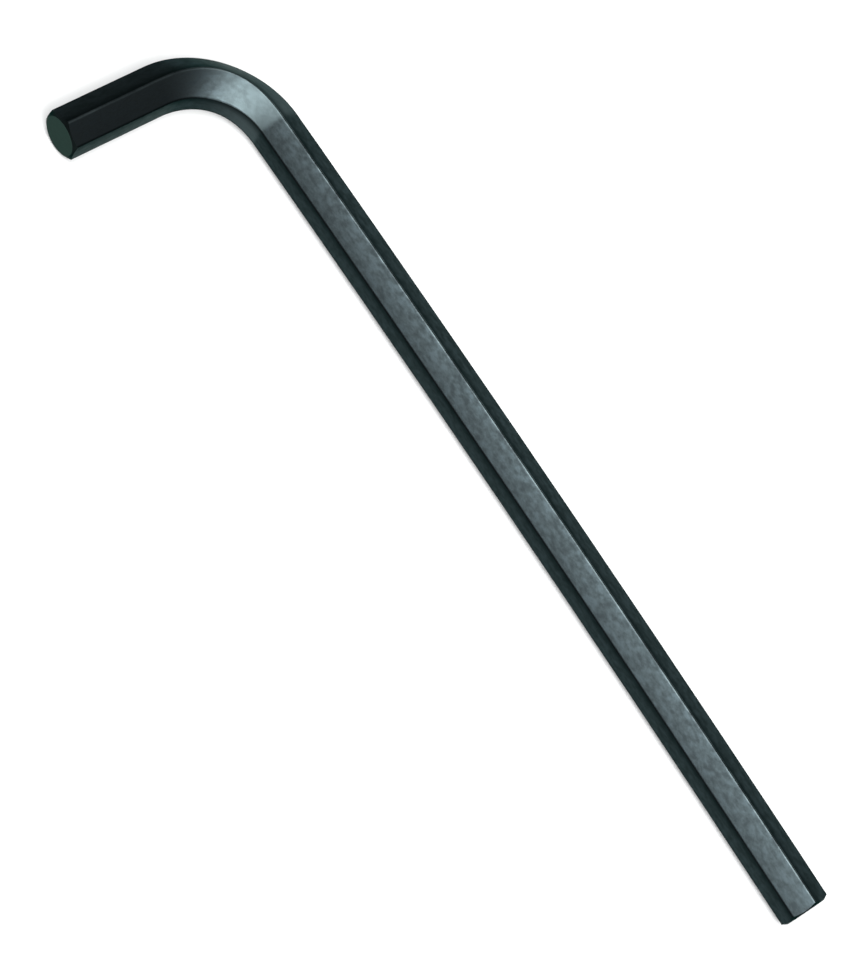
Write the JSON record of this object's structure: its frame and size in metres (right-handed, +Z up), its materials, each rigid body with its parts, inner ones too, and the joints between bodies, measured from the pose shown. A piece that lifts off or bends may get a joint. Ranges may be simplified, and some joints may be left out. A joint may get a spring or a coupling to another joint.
{
  "type": "hex key",
  "caption": "L-shaped hexagonal steel key with a long and a short arm, for turning socket-head screws.",
  "frame": {"origin": "middle of the space the key fills, in the plane it lies on", "axes": "+X along the long arm from the bend to its tip, short arm towards -Y, +Z up with a ridge of the bar uppermost"},
  "size_m": [0.227, 0.0494, 0.0114],
  "materials": {
    "black_oxide_steel": "satin"
  },
  "bodies": {
    "root": {"hex_key": "black_oxide_steel"}
  },
  "joints": []
}
